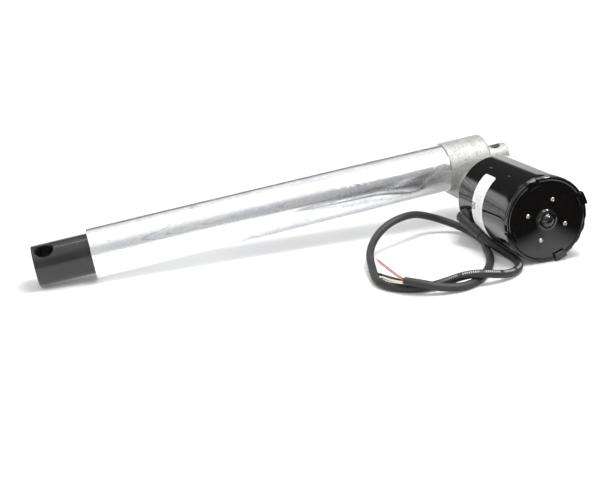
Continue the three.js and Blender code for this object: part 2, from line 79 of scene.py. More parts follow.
# ---- camera ----
cam_data = bpy.data.cameras.new("camera")
cam_data.lens = 58.24
cam_data.sensor_width = 36
cam_data.clip_start, cam_data.clip_end = 0.05, 60
cam = bpy.data.objects.new("camera", cam_data)
scene.collection.objects.link(cam)
scene.camera = cam
azimuth, elevation, roll = (math.radians(a) for a in (13.8396, 17.0342, -4.7669))
forward = Vector((
    math.sin(azimuth) * math.cos(elevation),
    math.cos(azimuth) * math.cos(elevation),
    -math.sin(elevation),
))
level = Vector((math.cos(azimuth), -math.sin(azimuth), 0))
upward = level.cross(forward)
right = level * math.cos(roll) + upward * math.sin(roll)
up = -level * math.sin(roll) + upward * math.cos(roll)
turn = Matrix((right, up, -forward)).transposed().to_4x4()
cam.matrix_world = Matrix.Translation(
    FLOOR_ORIGIN + Vector((-426.247, -945.601, 304.003)) * MM
) @ turn


# ---- node helpers ----
class Nodes:
    """A material's node tree with short ways to add noise, ramps and bumps."""

    def __init__(self, name):
        self.mat = bpy.data.materials.new(name)
        self.mat.use_nodes = True
        self.tree = self.mat.node_tree
        self.shader = self.tree.nodes["Principled BSDF"]
        self.coords = self.tree.nodes.new("ShaderNodeTexCoord")

    def set(self, **values):
        for key, value in values.items():
            socket = self.shader.inputs[key.replace("_", " ")]
            if hasattr(socket.default_value, "__len__") and len(value) == 3:
                value = (*value, 1)
            socket.default_value = value
        return self

    def link(self, source, target):
        self.tree.links.new(source, target)
        return source

    def to(self, source, name):
        return self.link(source, self.shader.inputs[name])

    def place(self, scale, turn=(0, 0, 0), shift=(0, 0, 0), source="Object"):
        m = self.tree.nodes.new("ShaderNodeMapping")
        m.inputs["Scale"].default_value = scale
        m.inputs["Rotation"].default_value = turn
        m.inputs["Location"].default_value = shift
        self.link(self.coords.outputs[source], m.inputs["Vector"])
        return m.outputs["Vector"]

    def noise(self, vector, scale, detail=4, rough=0.5, distort=0):
        n = self.tree.nodes.new("ShaderNodeTexNoise")
        n.inputs["Scale"].default_value = scale
        n.inputs["Detail"].default_value = detail
        n.inputs["Roughness"].default_value = rough
        n.inputs["Distortion"].default_value = distort
        self.link(vector, n.inputs["Vector"])
        return n.outputs["Fac"]

    def span(self, source, low, high, to_low=0.0, to_high=1.0, smooth=False):
        r = self.tree.nodes.new("ShaderNodeMapRange")
        r.interpolation_type = "SMOOTHSTEP" if smooth else "LINEAR"
        for key, value in zip(
            ("From Min", "From Max", "To Min", "To Max"), (low, high, to_low, to_high)
        ):
            r.inputs[key].default_value = value
        self.link(source, r.inputs["Value"])
        return r.outputs["Result"]

    def math(self, kind, a, b=None):
        m = self.tree.nodes.new("ShaderNodeMath")
        m.operation = kind
        for i, v in enumerate((a, b)):
            if v is None:
                continue
            if isinstance(v, (int, float)):
                m.inputs[i].default_value = v
            else:
                self.link(v, m.inputs[i])
        return m.outputs[0]

    def mix(self, factor, a, b, kind="MIX"):
        m = self.tree.nodes.new("ShaderNodeMix")
        m.data_type = "RGBA"
        m.blend_type = kind
        self.link(factor, m.inputs[0])
        for i, v in ((6, a), (7, b)):
            if isinstance(v, tuple):
                m.inputs[i].default_value = (*v, 1)
            else:
                self.link(v, m.inputs[i])
        return m.outputs[2]

    def bump(self, height, strength, distance=0.0002, below=None):
        b = self.tree.nodes.new("ShaderNodeBump")
        b.inputs["Strength"].default_value = strength
        b.inputs["Distance"].default_value = distance
        self.link(height, b.inputs["Height"])
        if below is not None:
            self.link(below, b.inputs["Normal"])
        return b.outputs["Normal"]

    def spot(self, at, radius, wobble=0.5, stretch=(1, 1, 1), turn=(0, 0, 0)):
        """1 inside a ragged spot round a point of the object, 0 outside."""
        inverse = tuple(1 / s for s in stretch)
        off = self.tree.nodes.new("ShaderNodeVectorMath")
        off.operation = "SUBTRACT"
        self.link(self.coords.outputs["Object"], off.inputs[0])
        off.inputs[1].default_value = at
        m = self.tree.nodes.new("ShaderNodeMapping")
        m.inputs["Scale"].default_value = inverse
        m.inputs["Rotation"].default_value = turn
        self.link(off.outputs[0], m.inputs["Vector"])
        length = self.tree.nodes.new("ShaderNodeVectorMath")
        length.operation = "LENGTH"
        self.link(m.outputs[0], length.inputs[0])
        grain = self.noise(self.coords.outputs["Object"], 900, 3)
        edge = self.math("MULTIPLY", self.math("SUBTRACT", grain, 0.5), radius * wobble * 2)
        near = self.math("ADD", length.outputs["Value"], edge)
        return self.span(near, radius * 0.8, radius, 1, 0)


MATERIALS = {}


def material(slot):
    if slot not in MATERIALS:
        MATERIALS[slot] = MAKERS[slot](slot).mat
    return MATERIALS[slot]


def mill_aluminium(name):
    n = Nodes(name).set(Metallic=0.88)
    # drawn lines run along the tube, local Y
    lines = n.noise(n.place((900, 6, 900)), 1, 5, 0.6)
    blotch = n.noise(n.place((1, 0.45, 1)), 60, 7, 0.68, 0.4)
    fine = n.noise(n.place((1, 0.7, 1)), 260, 5, 0.7)
    haze = n.span(blotch, 0.44, 0.66, smooth=True)
    tint = n.mix(haze, (0.9, 0.905, 0.915), (0.76, 0.775, 0.81))
    mottle = n.span(fine, 0.52, 0.66)
    tint = n.mix(n.math("MULTIPLY", mottle, 0.42), tint, (0.5, 0.52, 0.57))
    # long thin scratches, some along the tube and some slanting round it
    scratch = None
    for scale, turn, width in (
        ((26, 3.2, 26), (0.1, 0.0, 0.25), 0.009),
        ((60, 7, 60), (0.3, 0.2, -0.2), 0.01),
        ((120, 60, 120), (0.9, 0.2, 0.4), 0.012),
    ):
        field = n.noise(n.place(scale, turn), 1, 1, 0.4)
        line = n.math("ABSOLUTE", n.math("SUBTRACT", field, 0.5))
        one = n.span(line, 0, width, 1, 0)
        gate = n.span(n.noise(n.place((1, 1, 1), shift=(scale[0], 0, 0)), 26, 2), 0.52, 0.58)
        one = n.math("MULTIPLY", one, gate)
        scratch = one if scratch is None else n.math("MAXIMUM", scratch, one)
    tint = n.mix(n.math("MULTIPLY", scratch, 0.5), tint, (0.36, 0.38, 0.43))
    # one long gouge on the side that faces the motor
    gouge = None
    for turn_, along_, size in ((64, 276, 1.0), (68, 286, 1.0), (73, 296, 1.0), (79, 304, 0.8)):
        a = math.radians(turn_)
        at = (-COVER_R * math.sin(a) * MM, along_ * MM, COVER_R * math.cos(a) * MM)
        one = n.spot(at, 1.6 * size * MM, 0.2, (0.6, 4.4, 0.3), (-0.3, 0, 0))
        gouge = one if gouge is None else n.math("MAXIMUM", gouge, one)
    tint = n.mix(n.math("MULTIPLY", gouge, 0.6), tint, (0.97, 0.97, 0.98))
    n.to(tint, "Base Color")
    rough = n.span(lines, 0.3, 0.7, 0.14, 0.2)
    rough = n.math("ADD", rough, n.math("MULTIPLY", haze, 0.06))
    rough = n.math("ADD", rough, n.math("MULTIPLY", mottle, 0.12))
    n.to(rough, "Roughness")
    relief = n.bump(lines, 0.08, 0.00006)
    marks = n.math("MAXIMUM", scratch, gouge)
    relief = n.bump(n.math("SUBTRACT", 1.0, marks), 0.25, 0.0001, relief)
    relief = n.bump(fine, 0.025, 0.0001, relief)
    n.to(relief, "Normal")
    return n


def cast_aluminium(name):
    n = Nodes(name).set(Metallic=0.45)
    grain = n.noise(n.place((1, 1, 1)), 1100, 4, 0.65)
    cloud = n.noise(n.place((1, 1, 1)), 70, 6, 0.65)
    tint = n.mix(n.span(cloud, 0.35, 0.7), (0.47, 0.467, 0.458), (0.33, 0.327, 0.318))
    specks = n.span(n.noise(n.place((1, 1, 1)), 420, 5, 0.8), 0.5, 0.62)
    tint = n.mix(n.math("MULTIPLY", specks, 0.75), tint, (0.2, 0.195, 0.185))
    pale = n.span(n.noise(n.place((1, 1, 1), shift=(0.3, 0, 0)), 380, 4, 0.75), 0.56, 0.68)
    tint = n.mix(n.math("MULTIPLY", pale, 0.45), tint, (0.7, 0.7, 0.69))
    n.to(tint, "Base Color")
    n.to(n.span(grain, 0.3, 0.7, 0.5, 0.66), "Roughness")
    relief = n.bump(grain, 0.8, 0.0002)
    n.to(n.bump(cloud, 0.3, 0.0004, relief), "Normal")
    return n


def black_steel(name):
    n = Nodes(name).set(IOR=1.52)
    lines = n.noise(n.place((700, 9, 700)), 1, 4, 0.6)
    cloud = n.noise(n.place((1, 0.6, 1)), 45, 5, 0.6)
    tint = n.mix(n.span(cloud, 0.4, 0.7), (0.009, 0.0088, 0.0085), (0.017, 0.0165, 0.016))
    dust = n.span(n.noise(n.place((1, 1, 1)), 420, 2, 0.6), 0.7, 0.76)
    tint = n.mix(n.math("MULTIPLY", dust, 0.3), tint, (0.12, 0.1, 0.09))
    n.to(tint, "Base Color")
    n.to(n.span(cloud, 0.35, 0.7, 0.2, 0.3), "Roughness")
    n.to(n.bump(lines, 0.1, 0.00008), "Normal")
    return n


def gloss_black(name):
    n = Nodes(name).set(IOR=1.5, Coat_Weight=0.4, Coat_Roughness=0.04)
    peel = n.noise(n.place((1, 1, 1)), 260, 2, 0.5)
    dust = n.span(n.noise(n.place((1, 1, 1)), 900, 3, 0.6), 0.7, 0.76)
    tint = n.mix(n.math("MULTIPLY", dust, 0.25), (0.0045, 0.0042, 0.004), (0.06, 0.055, 0.05))
    wear = None
    for (turn, y, size, lean) in (
        (-26.5, -93.8, 0.9, 0.3),
        (-27.4, -133.0, 0.7, 0.3),
        (48.0, -120.0, 0.8, 0.4),
        (150.0, -88.0, 0.9, 0.2),
    ):
        a = math.radians(turn)
        at = tuple(v * MM for v in (41.3 * math.sin(a), y, 41.3 * math.cos(a)))
        one = n.spot(at, size * 2 * MM, 0.5, (0.35, 1.7, 0.8), (0, 0, lean))
        wear = one if wear is None else n.math("MAXIMUM", wear, one)
    tint = n.mix(n.math("MULTIPLY", wear, 0.45), tint, (0.2, 0.2, 0.195))
    # painted highlight: light striped lines over the upper tab, standing in for the bright
    # reflection along its fold
    tab_turn, tab_r = TABS[0]
    a = math.radians(tab_turn)
    at = (tab_r * math.sin(a) * MM, CAP_FACE_Y * MM, tab_r * math.cos(a) * MM)
    painted_tab_highlight = n.spot(at, 4 * MM, 0.4, (1.5, 0.9, 0.7))
    axes = n.tree.nodes.new("ShaderNodeSeparateXYZ")
    n.link(n.coords.outputs["Object"], axes.inputs[0])
    stripes = n.span(n.math("FRACT", n.math("MULTIPLY", axes.outputs["Y"], 620)), 0.4, 0.5)
    painted_tab_highlight = n.math("MULTIPLY", painted_tab_highlight, stripes)
    tint = n.mix(n.math("MULTIPLY", painted_tab_highlight, 0.75), tint, (0.27, 0.27, 0.265))
    n.to(tint, "Base Color")
    smear = n.noise(n.place((1, 1, 1)), 28, 4, 0.6)
    rough = n.span(smear, 0.4, 0.75, 0.04, 0.13)
    n.to(n.math("ADD", rough, n.math("MULTIPLY", wear, 0.4)), "Roughness")
    n.to(n.bump(peel, 0.06, 0.0004), "Normal")
    return n


def metal(base, dark, rough, streak=500):
    def make(name):
        n = Nodes(name).set(Metallic=1.0)
        lines = n.noise(n.place((1, 1, 1)), streak, 4, 0.6)
        cloud = n.noise(n.place((1, 1, 1)), 90, 4, 0.6)
        n.to(n.mix(n.span(cloud, 0.35, 0.7), base, dark), "Base Color")
        n.to(n.span(lines, 0.3, 0.7, rough - 0.06, rough + 0.1), "Roughness")
        n.to(n.bump(lines, 0.12, 0.0001), "Normal")
        return n

    return make


def matt(base, dark, rough, grain=1200, bump=0.2, ior=1.5):
    def make(name):
        n = Nodes(name).set(IOR=ior)
        fine = n.noise(n.place((1, 1, 1)), grain, 3, 0.6)
        cloud = n.noise(n.place((1, 1, 1)), 70, 4, 0.6)
        n.to(n.mix(n.span(cloud, 0.35, 0.7), base, dark), "Base Color")
        n.to(n.span(fine, 0.3, 0.7, rough - 0.06, rough + 0.08), "Roughness")
        n.to(n.bump(fine, bump, 0.0001), "Normal")
        return n

    return make


def cord_jacket(name):
    n = Nodes(name).set(IOR=1.5)
    fine = n.noise(n.place((1, 1, 1)), 1500, 3, 0.6)
    cloud = n.noise(n.place((1, 1, 1)), 80, 5, 0.65)
    tint = n.mix(n.span(cloud, 0.3, 0.75), (0.013, 0.0125, 0.012), (0.028, 0.027, 0.026))
    # a printed line of plain dashes on top of the first stretch
    uv = n.tree.nodes.new("ShaderNodeSeparateXYZ")
    n.link(n.coords.outputs["UV"], uv.inputs[0])
    run, round_ = uv.outputs["X"], uv.outputs["Y"]
    off = n.math("ABSOLUTE", n.math("SUBTRACT", round_, 0.6))
    band = n.span(off, 0.04, 0.05, 1, 0)
    marks = n.math("FRACT", n.math("MULTIPLY", run, 560))
    dash = n.span(marks, 0.52, 0.56, 1, 0)
    gaps = n.span(n.math("FRACT", n.math("MULTIPLY", run, 52)), 0.78, 0.8, 1, 0)
    near = n.math("MULTIPLY", n.span(run, 0.074, 0.078), n.span(run, 0.15, 0.17, 1, 0))
    for part in (dash, gaps, near):
        band = n.math("MULTIPLY", band, part)
    tint = n.mix(n.math("MULTIPLY", band, 0.7), tint, (0.6, 0.6, 0.58))
    n.to(tint, "Base Color")
    n.to(n.span(cloud, 0.35, 0.7, 0.5, 0.66), "Roughness")
    relief = n.bump(fine, 0.15, 0.0001)
    n.to(n.bump(n.noise(n.place((1, 1, 1)), 110, 3), 0.25, 0.0004, relief), "Normal")
    return n


def label_white(name):
    n = Nodes(name).set(IOR=1.45)
    uv = n.tree.nodes.new("ShaderNodeSeparateXYZ")
    n.link(n.coords.outputs["UV"], uv.inputs[0])
    run, cross = uv.outputs["X"], uv.outputs["Y"]
    # short grey bars in rows, which spell nothing
    rows = n.math("FRACT", n.math("MULTIPLY", cross, 420))
    bar = n.span(rows, 0.45, 0.5, 1, 0)
    ink = n.span(n.noise(n.place((900, 140, 1), source="UV"), 1, 1), 0.47, 0.52)
    inside = n.math("MULTIPLY", n.span(cross, 0.003, 0.0034), n.span(cross, 0.0186, 0.019, 1, 0))
    part = n.math("MULTIPLY", n.span(run, 0.017, 0.018), n.span(run, 0.064, 0.066, 1, 0))
    for mask in (ink, inside, part):
        bar = n.math("MULTIPLY", bar, mask)
    dirt = n.span(n.noise(n.place((1, 1, 1)), 130, 5, 0.65), 0.45, 0.75)
    tint = n.mix(n.math("MULTIPLY", dirt, 0.3), (0.86, 0.86, 0.86), (0.6, 0.6, 0.62))
    block = n.math("MULTIPLY", n.span(run, 0.03, 0.031), n.span(run, 0.0375, 0.038, 1, 0))
    block = n.math("MULTIPLY", block, n.span(cross, 0.0145, 0.0148))
    patches = n.noise(n.place((600, 600, 1), source="UV"), 1, 1)
    block = n.math("MULTIPLY", block, n.span(patches, 0.4, 0.46))
    tint = n.mix(n.math("MULTIPLY", bar, 0.42), tint, (0.3, 0.31, 0.34))
    n.to(n.mix(n.math("MULTIPLY", block, 0.8), tint, (0.12, 0.12, 0.13)), "Base Color")
    n.to(n.span(dirt, 0, 1, 0.35, 0.5), "Roughness")
    n.to(n.bump(n.noise(n.place((1, 1, 1)), 700, 2), 0.08, 0.0001), "Normal")
    return n


MAKERS = {
    "mill_aluminium": mill_aluminium,
    "cast_aluminium": cast_aluminium,
    "black_steel": black_steel,
    "gloss_black": gloss_black,
    "steel": metal((0.72, 0.68, 0.63), (0.55, 0.5, 0.45), 0.24),
    "dark_steel": metal((0.26, 0.26, 0.27), (0.17, 0.17, 0.18), 0.38),
    "bronze": metal((0.62, 0.42, 0.2), (0.45, 0.28, 0.12), 0.32),
    "copper": metal((0.75, 0.36, 0.2), (0.5, 0.2, 0.1), 0.3),
    "ferrite": matt((0.06, 0.058, 0.056), (0.035, 0.034, 0.033), 0.8),
    "black_plastic": matt((0.03, 0.03, 0.032), (0.045, 0.045, 0.046), 0.5),
    "white_plastic": matt((0.78, 0.77, 0.72), (0.68, 0.66, 0.6), 0.45),
    "rubber": matt((0.018, 0.018, 0.018), (0.03, 0.03, 0.03), 0.5),
    "cord_jacket": cord_jacket,
    "label_white": label_white,
    "lead_red": matt((0.6, 0.26, 0.25), (0.5, 0.18, 0.17), 0.4),
    "lead_black": matt((0.02, 0.02, 0.022), (0.035, 0.035, 0.037), 0.4),
    "lead_white": matt((0.76, 0.69, 0.56), (0.66, 0.58, 0.45), 0.45),
}

SLOT_OF = {s["node"]: s["material_slot"] for s in frame["record"]["subparts"]}
for node_name, node in frame["nodes"].items():
    node.data.materials.clear()
    node.data.materials.append(material(SLOT_OF[node_name]))
    for polygon in node.data.polygons:
        polygon.material_index = 0


# ---- mesh helpers ----
def new_object(name, bm, matrix=None, scale=MM):
    mesh = bpy.data.meshes.new(name)
    bmesh.ops.recalc_face_normals(bm, faces=bm.faces)
    bm.transform(Matrix.Scale(scale, 4))
    bm.to_mesh(mesh)
    bm.free()
    o = bpy.data.objects.new(name, mesh)
    scene.collection.objects.link(o)
    if matrix is not None:
        o.matrix_world = matrix
    return o


def crease(o, degrees=32):
    """Smooth faces, with edges sharper than this kept sharp."""
    bm = bmesh.new()
    bm.from_mesh(o.data)
    limit = math.radians(degrees)
    for f in bm.faces:
        f.smooth = True
    for e in bm.edges:
        e.smooth = len(e.link_faces) == 2 and e.calc_face_angle(0) < limit
    bm.to_mesh(o.data)
    bm.free()
    return o


def finish_piece(o, slot, body, *nodes, sharp=32):
    o.data.materials.clear()
    o.data.materials.append(material(slot))
    if o.type == "MESH" and sharp:
        crease(o, sharp)
    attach(o, body)
    if nodes:
        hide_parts(*nodes)
    return o


def rounded(points, steps=4):
    """A profile of [r, h] or [r, h, radius]: corners with a radius become arcs."""
    out = []
    n = len(points)
    for i, p in enumerate(points):
        here = Vector(p[:2])
        radius = p[2] if len(p) > 2 else 0
        if not radius:
            out.append(here)
            continue
        before, after = Vector(points[i - 1][:2]), Vector(points[(i + 1) % n][:2])
        a, b = (before - here).normalized(), (after - here).normalized()
        angle = a.angle(b)
        back = radius / math.tan(angle / 2)
        centre = here + (a + b).normalized() * (radius / math.sin(angle / 2))
        start, end = here + a * back - centre, here + b * back - centre
        sweep = start.angle_signed(end)
        for k in range(steps + 1):
            out.append(centre + Matrix.Rotation(-sweep * k / steps, 2) @ start)
    return [(max(0.0, p.x), p.y) for p in out]


def lathe_mesh(points, segments=128, steps=4):
    """Solid of revolution about local Y; the profile's ends are on the axis, or it closes."""
    profile = rounded(points, steps)
    bm = bmesh.new()
    rings = []
    for r, h in profile:
        if r < 1e-5:
            rings.append([bm.verts.new((0, h, 0))])
            continue
        ring = []
        for i in range(segments):
            a = 2 * math.pi * i / segments
            ring.append(bm.verts.new((r * math.sin(a), h, r * math.cos(a))))
        rings.append(ring)
    pairs = list(zip(rings[:-1], rings[1:]))
    if len(rings[0]) > 1:
        pairs.append((rings[-1], rings[0]))
    for one, two in pairs:
        if len(one) == 1 and len(two) == 1:
            continue
        for i in range(segments):
            j = (i + 1) % segments
            if len(one) == 1:
                bm.faces.new((one[0], two[j], two[i]))
            elif len(two) == 1:
                bm.faces.new((one[i], one[j], two[0]))
            else:
                bm.faces.new((one[i], one[j], two[j], two[i]))
    return bm


def lathe(name, points, matrix, segments=128, steps=4):
    return new_object(name, lathe_mesh(points, segments, steps), matrix)


def box_object(name, size, at, spin, matrix, taper=None):
    """A block turned about local Y; taper pulls its far end in, to make a web."""
    bm = bmesh.new()
    bmesh.ops.create_cube(bm, size=1)
    for v in bm.verts:
        v.co = Vector(v.co[i] * size[i] for i in range(3))
        if taper and v.co.y > 0 and v.co.z > 0:
            v.co.z -= taper
    bm.transform(Matrix.Translation(at))
    bm.transform(Matrix.Rotation(math.radians(spin), 4, "Y"))
    return new_object(name, bm, matrix)


def bar_object(name, r, length, height, degrees, matrix, segments=96):
    """A round bar across local Y, turned from local Z toward local X."""
    bm = lathe_mesh([(0, -length), (r, -length), (r, length), (0, length)], segments)
    bm.transform(Matrix.Rotation(math.pi / 2, 4, "X"))
    bm.transform(Matrix.Rotation(math.radians(degrees), 4, "Y"))
    bm.transform(Matrix.Translation((0, height, 0)))
    return new_object(name, bm, matrix)


def apply_modifiers(o):
    graph = bpy.context.evaluated_depsgraph_get()
    graph.update()
    mesh = bpy.data.meshes.new_from_object(o.evaluated_get(graph), depsgraph=graph)
    o.modifiers.clear()
    o.data = mesh
    return o


def combine(o, others, kind="DIFFERENCE", solver="MANIFOLD"):
    for other in others:
        m = o.modifiers.new("cut", "BOOLEAN")
        m.operation = kind
        m.solver = solver
        m.object = other
    apply_modifiers(o)
    for other in others:
        bpy.data.objects.remove(other, do_unlink=True)
    return o


def soften(o, width=0.25, segments=2, degrees=40):
    m = o.modifiers.new("edge", "BEVEL")
    m.width = width * MM
    m.segments = segments
    m.limit_method = "ANGLE"
    m.angle_limit = math.radians(degrees)
    m.use_clamp_overlap = True
    m.harden_normals = True
    return o


# ---- cord and leads ----
CORD_MM = [
    (-38.7, -104.5, 17.5),
    (-35.5, -114, 13),
    (-33.5, -120, 10.6),
    (-31, -126, 8.1),
    (-28.4, -133, 5.9),
    (-26.5, -141, 4.5),
    (-25.9, -150, 4),
    (-25.9, -158.5, 3.9),
    (-32.7, -178.8, 4),
    (-46.2, -190.9, 4.2),
    (-59.7, -197, 6.9),
    (-79.6, -197.9, 11.5),
    (-93.4, -193.7, 10.9),
    (-110.5, -189.3, 5.9),
    (-129.8, -189.5, 3.9),
    (-144.8, -185.2, 4.1),
    (-157.2, -173.5, 4),
    (-162.6, -155.7, 4.2),
    (-159.6, -137, 5.7),
    (-155.7, -120, 8.4),
    (-151.2, -102.3, 11),
    (-143.6, -86.2, 15),
    (-133.1, -72.1, 19.7),
    (-119.3, -61.5, 25.4),
    (-102.7, -55.2, 29.4),
    (-86.9, -46.8, 28.6),
    (-72.4, -35.5, 24),
    (-56.3, -31.3, 17.6),
    (-41.3, -35.8, 11.4),
    (-29.9, -48.2, 6.2),
    (-25.6, -64.9, 3.9),
    (-27.4, -82.8, 4.6),
    (-29.8, -100.7, 4.1),
    (-36.4, -116.8, 3.9),
    (-41.9, -135.7, 3.9),
    (-49.7, -152.8, 4),
    (-58.7, -168.4, 3.9),
    (-70.1, -182.5, 3.9),
    (-83.2, -195.8, 3.9),
    (-98.8, -202.9, 4.1),
    (-118, -202.2, 6),
    (-133, -197.1, 10.1),
    (-148, -186.5, 12.2),
]
RED_MM = [
    (-148.9, -185.6, 13.9),
    (-150.4, -180, 14.2),
    (-151.2, -163.7, 14.6),
    (-152.2, -148.6, 15.3),
    (-153.2, -135.2, 15.8),
    (-153.3, -126, 16),
]
BLACK_MM = [
    (-148.2, -184.9, 11.5),
    (-150.6, -178.6, 11.4),
    (-152.9, -170, 10.2),
    (-154, -152.1, 7),
    (-154.4, -134, 3.4),
    (-156.1, -122, 1.4),
    (-160, -115.3, 1.4),
]
WHITE_MM = [
    (-149.7, -186.9, 11.3),
    (-152.4, -181.6, 10.3),
    (-154.6, -174.4, 9.3),
    (-156.8, -165.2, 8.4),
    (-158.1, -156.4, 7.7),
]


def evenly(line, step):
    """The same line with points at equal distances."""
    total = length_of(line)
    count = max(8, round(total / step))
    out, run, i = [line[0]], 0.0, 0
    for k in range(1, count):
        goal = total * k / count
        while run + (line[i + 1] - line[i]).length < goal:
            run += (line[i + 1] - line[i]).length
            i += 1
        out.append(line[i].lerp(line[i + 1], (goal - run) / (line[i + 1] - line[i]).length))
    out.append(line[-1])
    return out


def eased(line, rounds):
    """Evens out the bends, with the ends kept where they are."""
    for _ in range(rounds):
        middle = [
            line[i] * 0.5 + (line[i - 1] + line[i + 1]) * 0.25 for i in range(1, len(line) - 1)
        ]
        line = [line[0]] + middle + [line[-1]]
    return line


def length_of(line):
    return sum((b - a).length for a, b in zip(line[:-1], line[1:]))


def route(points_mm, per=7):
    """Smooth line through the route's points, in the row frame."""
    p = [FLOOR_ORIGIN + Vector(q) * MM for q in points_mm]
    p = [p[0] * 2 - p[1]] + p + [p[-1] * 2 - p[-2]]
    out = []
    for i in range(1, len(p) - 2):
        a, b, c, d = p[i - 1 : i + 3]
        ta, tb, tc = ((b - a).length ** 0.5, (c - b).length ** 0.5, (d - c).length ** 0.5)
        ta, tc = max(ta, 1e-6), max(tc, 1e-6)
        m1 = (c - b) + tb * ((b - a) / ta - (c - a) / (ta + tb))
        m2 = (c - b) + tb * ((d - c) / tc - (d - b) / (tb + tc))
        for k in range(per):
            t = k / per
            out.append(
                b * (2 * t**3 - 3 * t**2 + 1)
                + m1 * (t**3 - 2 * t**2 + t)
                + c * (-2 * t**3 + 3 * t**2)
                + m2 * (t**3 - t**2)
            )
    out.append(p[-2])
    return eased(evenly(out, 2.0 * MM), 24)


def tube_mesh(line, radius, sides=20):
    """A tube along a line, in metres. Its UV is metres along, and turns round from below."""
    radii = radius if callable(radius) else (lambda s: radius)
    bm = bmesh.new()
    uv = bm.loops.layers.uv.new("UVMap")
    rings, runs = [], []
    run = 0.0
    for i, p in enumerate(line):
        if i:
            run += (p - line[i - 1]).length
        ahead = (line[min(i + 1, len(line) - 1)] - line[max(i - 1, 0)]).normalized()
        out = ahead.cross(Vector((0, 0, 1))).normalized()
        top = out.cross(ahead).normalized()
        r = radii(run)
        ring = []
        for k in range(sides):
            a = 2 * math.pi * k / sides
            ring.append(bm.verts.new(p - top * (r * math.cos(a)) + out * (r * math.sin(a))))
        rings.append(ring)
        runs.append(run)
    for i in range(len(rings) - 1):
        for k in range(sides):
            j = (k + 1) % sides
            f = bm.faces.new((rings[i][k], rings[i][j], rings[i + 1][j], rings[i + 1][k]))
            us = (runs[i], runs[i], runs[i + 1], runs[i + 1])
            vs = (k, k + 1, k + 1, k)
            for loop, u, v in zip(f.loops, us, vs):
                loop[uv].uv = (u, v / sides)
    bm.faces.new(rings[0])
    bm.faces.new(list(reversed(rings[-1])))
    return bm


def tube_object(name, line, radius, sides=20):
    return new_object(name, tube_mesh(line, radius, sides), None, 1.0)


CORD_D, LEAD_D = 7.6 * MM, 2.6 * MM
cord_line = route(CORD_MM)
cord = tube_object("power_cord_jacket", cord_line, CORD_D / 2, 24)
finish_piece(cord, "cord_jacket", "housing", "power_cord", sharp=50)


def strands(name, core, slot, count=8, spread=0.5):
    """Bare twisted strands along the end of a lead's route, as one bundle of thin tubes."""
    bm = bmesh.new()
    for k in range(count):
        a0 = 2 * math.pi * k / (count - 1)
        far = 0.0 if k == count - 1 else 0.45 * MM
        line = []
        for i, p in enumerate(core[: len(core) - k % 3]):
            t = i / (len(core) - 1)
            heading = (core[min(i + 1, len(core) - 1)] - core[max(i - 1, 0)]).normalized()
            out = heading.cross(Vector((0, 0, 1))).normalized()
            top = out.cross(heading)
            a = a0 + 2.4 * t
            r = far * (1 + spread * (1 + k % 2) * t * t)
            line.append(p + (out * math.cos(a) + top * math.sin(a)) * r)
        part = tube_mesh(line, 0.17 * MM, 6)
        mesh = bpy.data.meshes.new("strand")
        part.to_mesh(mesh)
        part.free()
        bm.from_mesh(mesh)
        bpy.data.meshes.remove(mesh)
    o = new_object(name, bm, None, 1.0)
    return finish_piece(o, slot, "housing", sharp=60)


for name, points, slot, bare in (
    ("lead_red", RED_MM, "lead_red", 9.5),
    ("lead_black", BLACK_MM, "lead_black", 8.0),
    ("lead_white", WHITE_MM, "lead_white", 0.0),
):
    line = route(points)
    whole = length_of(line)
    if bare:
        cut = next(
            i for i in range(len(line)) if length_of(line[: i + 1]) > whole - bare * MM
        )
        strands(name + "_strands", line[cut - 1 :], "steel")
        line = line[: cut + 1]
    o = tube_object(name + "_wire", line, LEAD_D / 2, 14)
    finish_piece(o, slot, "housing", name, sharp=50)

# ---- cover tube ----
cover = lathe("cover_tube_body", [
    (22.2, 28.4),
    (25.4, 28.4, 0.25),
    (25.4, 406.9, 0.6),
    (22.2, 406.9, 0.5),
], TUBE, 160, 3)
finish_piece(cover, "mill_aluminium", "housing", "cover_tube")

# ---- extension tube with its cross hole ----
ext = lathe("extension_tube_body", [
    (18.2, 58),
    (20.6, 58, 0.4),
    (20.6, 462, 0.9),
    (0, 462),
    (0, 426),
    (18.2, 426, 1.0),
], TUBE, 160)
TIP = dict(height=449.8, degrees=-29.8)
combine(ext, [bar_object("c1", 7.94, 60, matrix=TUBE, **TIP)])
# a machined countersink round each mouth of the hole
sinks = []
for sign in (1, -1):
    cone = lathe_mesh([(0, 17.7), (7.7, 17.7), (9.7, 20.9), (0, 20.9)], 96)
    cone.transform(Matrix.Rotation(sign * math.pi / 2, 4, "X"))
    cone.transform(Matrix.Rotation(math.radians(TIP["degrees"]), 4, "Y"))
    cone.transform(Matrix.Translation((0, TIP["height"], 0)))
    sinks.append(new_object("c2", cone, TUBE))
combine(ext, sinks)
EXT_NODES = ("extension_tube", "extension_plug", "extension_tip")
finish_piece(ext, "black_steel", "extension", *EXT_NODES)
soften(ext, 0.3, 3, 30)

